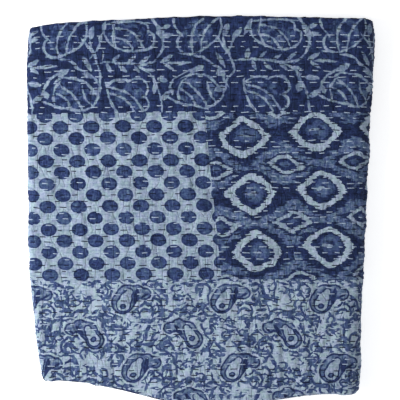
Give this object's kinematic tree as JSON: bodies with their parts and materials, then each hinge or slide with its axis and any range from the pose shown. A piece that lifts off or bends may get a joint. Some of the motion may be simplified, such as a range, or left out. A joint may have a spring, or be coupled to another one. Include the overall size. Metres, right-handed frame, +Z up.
{
  "type": "folded kantha quilt",
  "caption": "Hand-stitched kantha patchwork quilt in indigo prints, folded into a flat packet whose edges are all folds.",
  "frame": {"origin": "middle of the packet's outline, on the surface that it lies on", "axes": "+X towards the packet's wide spine, +Y towards the edge where the quilt's own turned-in ends fold, +Z up"},
  "size_m": [0.594, 0.666, 0.0532],
  "materials": {
    "printed_cotton": "matt printed cotton, hand quilted"
  },
  "bodies": {
    "root": {"quilt": "printed_cotton"}
  },
  "joints": []
}
